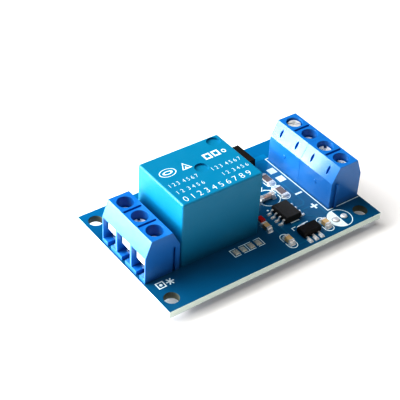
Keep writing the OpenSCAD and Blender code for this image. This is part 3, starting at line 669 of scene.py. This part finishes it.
def ink_outline(shape, outer, inner):
    """Adds a flat closed outline between two loops of points in millimetres on the board."""
    low_z, high_z = relay_high.z, relay_high.z + ink_h
    rings = []
    for points, z in ((outer, low_z), (outer, high_z), (inner, high_z), (inner, low_z)):
        rings.append([shape.verts.new((*on_board(x, y).xy, z)) for x, y in points])
    count = len(outer)
    for low, high in zip(rings, rings[1:] + rings[:1]):
        for i in range(count):
            j = (i + 1) % count
            shape.faces.new((low[i], low[j], high[j], high[i]))


def oval(x, y, rx, ry, count=40):
    """Points round an ellipse."""
    return [
        (x + rx * math.cos(2 * math.pi * i / count), y + ry * math.sin(2 * math.pi * i / count))
        for i in range(count)
    ]


def smaller(points, share):
    """The points drawn in towards their middle."""
    x = sum(p[0] for p in points) / len(points)
    y = sum(p[1] for p in points) / len(points)
    return [(x + (px - x) * share, y + (py - y) * share) for px, py in points]


badge = oval(12.1, 18.9, 1.9, 1.25)
pill = oval(12.1, 18.9, 1.15, 0.55)
triangle = [(15.0, 17.9), (17.3, 17.9), (16.15, 20.0)]
dot = [(x, y - 0.25) for x, y in smaller(triangle, 0.35)]
ring = oval(25.6, 18.9, 0.5, 0.6, 24)
marks = bmesh.new()
ink_outline(marks, badge, smaller(badge, 0.88))
ink_outline(marks, pill, smaller(pill, 0.6))
ink_outline(marks, triangle, smaller(triangle, 0.7))
ink_outline(marks, dot, smaller(triangle, 0.01))
for left, low, right, top in ((20.9, 18.2, 22.6, 20.0), (23.0, 18.2, 24.6, 20.0)):
    square = [(left, low), (right, low), (right, top), (left, top)]
    ink_outline(marks, square, smaller(square, 0.55))
ink_outline(marks, ring, smaller(ring, 0.55))
bmesh.ops.recalc_face_normals(marks, faces=marks.faces)
marks_mesh = bpy.data.meshes.new("relay_marks")
marks.to_mesh(marks_mesh)
marks.free()
marks_mesh.materials.append(relay_ink.material)
relay_marks = show("relay_marks", marks_mesh)
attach(relay_marks, "board")


def number_row(name, digits, x, y, width, tall):
    """Printed numbers on the relay's top, from (x, y) on the board, in millimetres."""
    text = bpy.data.curves.new(name, "FONT")
    text.body = digits
    text.extrude = 0.5
    text.offset = -0.012
    holder = bpy.data.objects.new(name + "_text", text)
    bpy.context.scene.collection.objects.link(holder)
    bpy.context.view_layer.update()
    mesh = bpy.data.meshes.new_from_object(
        holder.evaluated_get(bpy.context.evaluated_depsgraph_get())
    )
    bpy.data.objects.remove(holder)
    xs = [v.co.x for v in mesh.vertices]
    ys = [v.co.y for v in mesh.vertices]
    across, up = max(xs) - min(xs), max(ys) - min(ys)
    corner = on_board(x, y)
    for v in mesh.vertices:
        v.co.x = corner.x + (v.co.x - min(xs)) / across * width * MM
        v.co.y = corner.y + (v.co.y - min(ys)) / up * tall * MM
        v.co.z = relay_high.z + (v.co.z + 0.5) * ink_h
    mesh.materials.clear()
    mesh.materials.append(relay_ink.material)
    piece = show(name, mesh)
    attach(piece, "board")


number_row("relay_numbers_1", "1 2 3  4 5 6 7", x=10.0, y=14.7, width=6.6, tall=1.05)
number_row("relay_numbers_2", "1 2 3  4 5 6 7", x=20.1, y=14.7, width=6.8, tall=1.05)
number_row("relay_numbers_3", "1 2  3 4 5 6", x=10.2, y=12.35, width=6.2, tall=1.0)
number_row("relay_numbers_4", "1 2  3 4 5 6", x=21.0, y=12.35, width=6.0, tall=1.0)
number_row("relay_numbers_5", "0 1 2 3 4 5 6 7 8 9", x=10.0, y=9.75, width=15.8, tall=1.45)


# ---- Relay works ----------------------------------------------------------
# Inside the case: a black base that all else stands on, a white coil former
# wound with copper wire, plated iron parts, and contacts of copper alloy.

base_black = Finish("relay base plastic", (0.02, 0.02, 0.022), 0.5)
base_black.relief(base_black.grain(0.3 * MM, 3), 0.02 * MM)
coat_node(base_black, "relay_base")

former_white = Finish("coil former plastic", (0.80, 0.78, 0.72), 0.45, Subsurface_Weight=0.05)
former_white.relief(former_white.grain(0.3 * MM, 3), 0.01 * MM)
coat_node(former_white, "relay_bobbin")

wire_d = 0.16 * MM
winding = Finish("enamelled copper wire", (0.62, 0.22, 0.07), 0.25, Metallic=1.0, Coat_Weight=0.6)
lay = winding.node("ShaderNodeSeparateXYZ", sockets={0: winding.spot}, out="Z") / wire_d
turns = abs(lay.reckon("FRACT", lay) - 0.5) * 2
# The wire colour darkens into the groove between turns as painted shade.
winding.vary("Base Color", winding.mix(turns, (0.75, 0.30, 0.10), (0.25, 0.07, 0.02)))
winding.relief(1 - turns, 0.06 * MM)
coat_node(winding, "relay_coil")

iron = Finish("plated iron", (0.58, 0.58, 0.57), 0.35, Metallic=1.0)
iron.vary("Roughness", iron.ramp(iron.grain(0.6 * MM, 4, (1, 6, 1)), 0.3, 0.7, 0.26, 0.46))
iron.relief(iron.grain(0.2 * MM, 3), 0.01 * MM)
coat_node(iron, "relay_core", "relay_yoke", "relay_armature")

contact_alloy = Finish("contact alloy", (0.72, 0.50, 0.27), 0.3, Metallic=1.0)
contact_alloy.vary(
    "Base Color",
    contact_alloy.mix(contact_alloy.grain(1 * MM, 3), (0.66, 0.42, 0.20), (0.80, 0.60, 0.36)),
)
coat_node(contact_alloy, "relay_contact_spring", "relay_closed_contact", "relay_open_contact")
coat_node(tinned, "relay_coil_pins")


# ---- Terminal housings ----------------------------------------------------
# Glossy blue nylon, moulded with eased edges. Each block slides into the next
# one on a dovetail at its end.

housing_blue = Finish("terminal nylon", (0.014, 0.19, 0.54), 0.32, Coat_Weight=0.4, Coat_Roughness=0.2)
housing_blue.vary(
    "Base Color",
    housing_blue.mix(housing_blue.grain(4 * MM, 3), (0.012, 0.18, 0.51), (0.016, 0.20, 0.57)),
)
housing_blue.vary("Roughness", housing_blue.ramp(housing_blue.grain(1.2 * MM, 4), 0.3, 0.7, 0.28, 0.38))
housing_blue.relief(housing_blue.grain(0.7 * MM, 1), 0.012 * MM, 0.5)


def eased_copy(node, name, ease, finish):
    """The node's own shape with its outer edges eased, as a mould leaves them."""
    shape = bmesh.new()
    shape.from_mesh(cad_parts[node].data)
    bmesh.ops.remove_doubles(shape, verts=shape.verts, dist=1e-7)
    bmesh.ops.dissolve_limit(
        shape, angle_limit=math.radians(2), verts=shape.verts, edges=shape.edges
    )
    sharp = [
        e for e in shape.edges
        if len(e.link_faces) == 2 and e.calc_face_angle() > math.radians(28)
    ]
    bmesh.ops.bevel(
        shape, geom=sharp, offset=ease, offset_type="OFFSET", segments=2, profile=0.5,
        affect="EDGES", clamp_overlap=True,
    )
    mesh = bpy.data.meshes.new(name)
    shape.to_mesh(mesh)
    shape.free()
    mesh.shade_smooth()
    mesh.set_sharp_from_angle(angle=math.radians(20))
    for face in mesh.polygons:
        along_an_axis = max(abs(n) for n in face.normal) > 0.9999
        face.use_smooth = not (along_an_axis or face.area > 1.5 * MM * MM)
    mesh.materials.append(finish.material)
    return show(name, mesh)


for node in ("left_housing", "right_far_housing", "right_near_housing"):
    piece = eased_copy(node, node + "_eased", 0.09 * MM, housing_blue)
    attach(piece, "board")
    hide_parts(node)


# ---- Clamp frames and wire guards -----------------------------------------
# Each frame is folded from tinned steel strip and stands in its cell, with a
# pin down through the board. The guard is a thin leaf of bright steel that the
# screw presses down on the wire.

strip_steel = Finish("tinned steel strip", (0.70, 0.70, 0.69), 0.28, Metallic=1.0)
rolled = strip_steel.grain(0.5 * MM, 4, (1, 1, 5))
strip_steel.vary("Roughness", strip_steel.ramp(rolled, 0.3, 0.7, 0.2, 0.42))
strip_steel.relief(strip_steel.grain(0.25 * MM, 3, (1, 1, 4)), 0.008 * MM)
coat_node(strip_steel, *(f"clamp_frame_{way}" for way in range(1, 8)))

leaf_steel = Finish("bright steel leaf", (0.93, 0.93, 0.92), 0.5, Metallic=0.6)
rolled = leaf_steel.grain(0.4 * MM, 4, (1, 6, 1))
leaf_steel.vary("Roughness", leaf_steel.ramp(rolled, 0.3, 0.7, 0.42, 0.6))
leaf_steel.relief(leaf_steel.grain(0.3 * MM, 3), 0.008 * MM)
coat_node(leaf_steel, *(f"wire_guard_{way}" for way in range(1, 8)))


# ---- Clamp screws ---------------------------------------------------------
# Zinc plated steel: a flat head with a slot and a short cross arm, and a
# rolled thread of 0.45 mm pitch. Each turns in the top of its clamp frame.

zinc = Finish("zinc plated steel", (0.88, 0.88, 0.86), 0.45, Metallic=0.55)
zinc.vary("Base Color", zinc.mix(zinc.grain(0.9 * MM, 3), (0.72, 0.73, 0.73), (0.95, 0.94, 0.92)))
zinc.vary("Roughness", zinc.ramp(zinc.grain(0.3 * MM, 4), 0.3, 0.7, 0.4, 0.62))
zinc.relief(zinc.grain(0.2 * MM, 3), 0.01 * MM)

screw = Recipe(
    "clamp screw", "Shank Radius", "Shank Length", "Thread Pitch", "Thread Depth",
    "Head Radius", "Head Height", "Chamfer", "Slot Width", "Slot Depth", "Cross Length", "Slot Turn",
)
spot = screw.node("GeometryNodeInputPosition")
spot_x = screw.node("ShaderNodeSeparateXYZ", sockets={0: spot})
spot_y, spot_z = spot_x["Y"], spot_x["Z"]
shank = screw.node(
    "GeometryNodeMeshCylinder",
    sockets={
        "Vertices": 28, "Side Segments": 78,
        "Radius": screw["Shank Radius"], "Depth": screw["Shank Length"],
    },
)
angle = spot_x.reckon("ARCTAN2", spot_y, spot_x) / (2 * math.pi)
phase = spot_z / screw["Thread Pitch"] - angle
crest = abs(phase.reckon("FRACT", phase) - 0.5) * 2
waist = 1 - crest * (screw["Thread Depth"] / screw["Shank Radius"])
shank = screw.node(
    "GeometryNodeSetPosition",
    sockets={"Geometry": shank, "Position": screw.triple(spot_x * waist, spot_y * waist, spot_z)},
)
half_head = screw["Head Height"] / 2
head = screw.node(
    "GeometryNodeMeshCylinder",
    sockets={
        "Vertices": 40, "Side Segments": 2,
        "Radius": screw["Head Radius"], "Depth": screw["Head Height"],
    },
)
middle_ring = 1 - abs(spot_z) / half_head
lifted = spot_z + middle_ring * (half_head - screw["Chamfer"])
drawn_in = 1 - (spot_z > half_head * 0.9) * (screw["Chamfer"] / screw["Head Radius"])
head = screw.node(
    "GeometryNodeSetPosition",
    sockets={
        "Geometry": head,
        "Position": screw.triple(spot_x * drawn_in, spot_y * drawn_in, lifted),
    },
)
for length, width, depth in (
    (screw["Head Radius"] * 3, screw["Slot Width"], screw["Slot Depth"]),
    (screw["Slot Width"], screw["Cross Length"], screw["Slot Depth"] * 0.9),
):
    cutter = screw.node(
        "GeometryNodeMeshCube", sockets={"Size": screw.triple(length, width, depth * 2)}
    )
    cutter = screw.node(
        "GeometryNodeTransform",
        sockets={"Geometry": cutter, "Translation": screw.triple(0.0, 0.0, half_head)},
    )
    head = screw.node("GeometryNodeMeshBoolean", {"operation": "DIFFERENCE"}, {0: head, 1: cutter})
head = screw.node(
    "GeometryNodeTransform",
    sockets={
        "Geometry": head,
        "Translation": screw.triple(0.0, 0.0, screw["Shank Length"] / 2 + half_head),
        "Rotation": screw.triple(0.0, 0.0, screw["Slot Turn"]),
    },
)
whole = screw.node("GeometryNodeJoinGeometry")
for part in (head, shank):
    screw.tree.links.new(part.socket, whole.socket.node.inputs[0])
screw.end(whole, zinc)

seed_point = bpy.data.meshes.new("seed point")
seed_point.from_pydata([(0, 0, 0)], [], [])
clearance, shank_length, head_height = 0.02 * MM, 3.88 * MM, 1.3 * MM
for way in range(1, 8):
    low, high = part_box(f"clamp_screw_{way}")
    piece = screw.make(
        f"clamp_screw_{way}_cut", seed_point,
        shank_radius=1.25 * MM, shank_length=shank_length, thread_pitch=0.45 * MM,
        thread_depth=0.2 * MM, head_radius=1.5 * MM, head_height=head_height, chamfer=0.14 * MM,
        slot_width=0.6 * MM, slot_depth=0.55 * MM, cross_length=1.9 * MM,
        slot_turn=math.radians(25 + 40 * (way - 1)),
    )
    middle = (low + high) / 2
    middle.z = low.z + clearance + shank_length / 2
    piece.data.transform(Matrix.Translation(middle))
    piece.data.shade_smooth()
    piece.data.set_sharp_from_angle(angle=math.radians(30))
    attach(piece, f"screw_{way}")
    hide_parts(f"clamp_screw_{way}")


# ---- Chips ----------------------------------------------------------------
# Epoxy moulded round the dies: black on the regulator and on the four-legged
# optocoupler behind the relay, and greyer on the driver chip. The leads are
# soldered, and those of the optocoupler go through the board.

black_chips, grey_chips = ("regulator", "optocoupler"), ("driver_chip",)
for label, dark, pale, nodes in (
    ("moulded black epoxy", (0.009, 0.007, 0.006), (0.020, 0.016, 0.013), black_chips),
    ("moulded grey epoxy", (0.036, 0.034, 0.031), (0.062, 0.058, 0.053), grey_chips),
):
    moulded = Finish(label, dark, 0.6, Specular_IOR_Level=0.3)
    moulded.vary("Base Color", moulded.mix(moulded.grain(0.5 * MM, 4), dark, pale))
    moulded.vary("Roughness", moulded.ramp(moulded.grain(0.7 * MM, 4), 0.3, 0.7, 0.5, 0.68))
    moulded.relief(moulded.grain(0.08 * MM, 3), 0.012 * MM)
    coat_node(moulded, *nodes)

lead_tin = Finish("bright tinned leads", (0.87, 0.86, 0.84), 0.36, Metallic=0.7)
lead_tin.vary("Roughness", lead_tin.ramp(lead_tin.grain(0.25 * MM, 4), 0.3, 0.7, 0.3, 0.5))
lead_tin.relief(lead_tin.grain(0.3 * MM, 2), 0.012 * MM)
coat_node(lead_tin, "optocoupler_leads")
coat_node(solder, "driver_chip_leads", "regulator_leads")


# ---- Chip capacitors and resistors ----------------------------------------
# Fired ceramic blocks with metal ends that are soldered to the board. The
# capacitors are tan all through, and the resistors carry a dark glaze on white, drawn lighter as a
# painted sheen.

capacitor_tan = Finish("tan ceramic", (0.60, 0.42, 0.20), 0.4)
capacitor_tan.vary(
    "Base Color",
    capacitor_tan.mix(capacitor_tan.grain(0.25 * MM, 4), (0.54, 0.36, 0.16), (0.68, 0.50, 0.27)),
)
capacitor_tan.relief(capacitor_tan.grain(0.15 * MM, 3), 0.01 * MM)
coat_node(capacitor_tan, "capacitors")

# The top colour is part dark glaze and part painted sheen.
glaze_and_painted_sheen = (0.19, 0.15, 0.14)
glaze_t = 0.08 * MM
resistor_glaze_and_sheen = Finish("dark glaze on white ceramic", glaze_and_painted_sheen, 0.3)
place = resistor_glaze_and_sheen.node("ShaderNodeSeparateXYZ", sockets={0: resistor_glaze_and_sheen.spot})
on_top = place["Z"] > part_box("resistors")[1].z - glaze_t
resistor_glaze_and_sheen.vary("Base Color", resistor_glaze_and_sheen.mix(on_top, (0.72, 0.71, 0.68), glaze_and_painted_sheen))
resistor_glaze_and_sheen.relief(resistor_glaze_and_sheen.grain(0.3 * MM, 2), 0.01 * MM)
coat_node(resistor_glaze_and_sheen, "resistors")

end_tin = Finish("tinned end caps", (0.93, 0.90, 0.86), 0.36, Metallic=0.5)
end_tin.vary("Roughness", end_tin.ramp(end_tin.grain(0.25 * MM, 4), 0.3, 0.7, 0.2, 0.42))
end_tin.relief(end_tin.grain(0.3 * MM, 3), 0.02 * MM)
coat_node(end_tin, "capacitor_ends", "resistor_ends", "diode_ends")


# ---- Glass diode ----------------------------------------------------------
# A tube of clear glass fused round two copper-coloured studs that grip the
# die between them, with a metal cap on each end.

diode_glass = Finish("diode glass", (0.90, 0.94, 0.95), 0.06, Alpha=0.35, Coat_Weight=0.8)
diode_glass.relief(diode_glass.grain(0.8 * MM, 1), 0.01 * MM)
coat_node(diode_glass, "glass_diode")

stud_copper = Finish("copper-clad studs", (0.68, 0.30, 0.16), 0.3, Metallic=1.0)
stud_copper.relief(stud_copper.grain(0.2 * MM, 2), 0.01 * MM)
glass_low, glass_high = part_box("glass_diode")
glass_mid = (glass_low + glass_high) / 2
studs = lathe_object(
    "diode_studs",
    [
        (0.45, -0.95), (0.45, -0.18), (0.36, -0.12), (0.30, -0.12),
        (0.30, 0.12), (0.36, 0.12), (0.45, 0.18), (0.45, 0.95),
    ],
    20,
)
studs.data.transform(
    Matrix.Translation(glass_mid) @ Matrix.Rotation(math.pi / 2, 4, "Y") @ Matrix.Scale(MM, 4)
)
studs.data.materials.append(stud_copper.material)
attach(studs, "board")


# ---- Red lamp -------------------------------------------------------------
# A small light-emitting part: a block of clear red resin moulded on a pale
# base, which is soldered to the board at both ends.

lamp_base = Finish("pale resin base", (0.78, 0.74, 0.62), 0.5)
lamp_base.relief(lamp_base.grain(0.2 * MM, 3), 0.01 * MM)
coat_node(lamp_base, "red_led_base")

lamp_red = Finish("red resin", (0.55, 0.01, 0.015), 0.15, Coat_Weight=0.6, Subsurface_Weight=0.2)
lamp_red.vary(
    "Base Color", lamp_red.mix(lamp_red.grain(0.5 * MM), (0.48, 0.006, 0.012), (0.66, 0.02, 0.02))
)
coat_node(lamp_red, "red_led_lens")
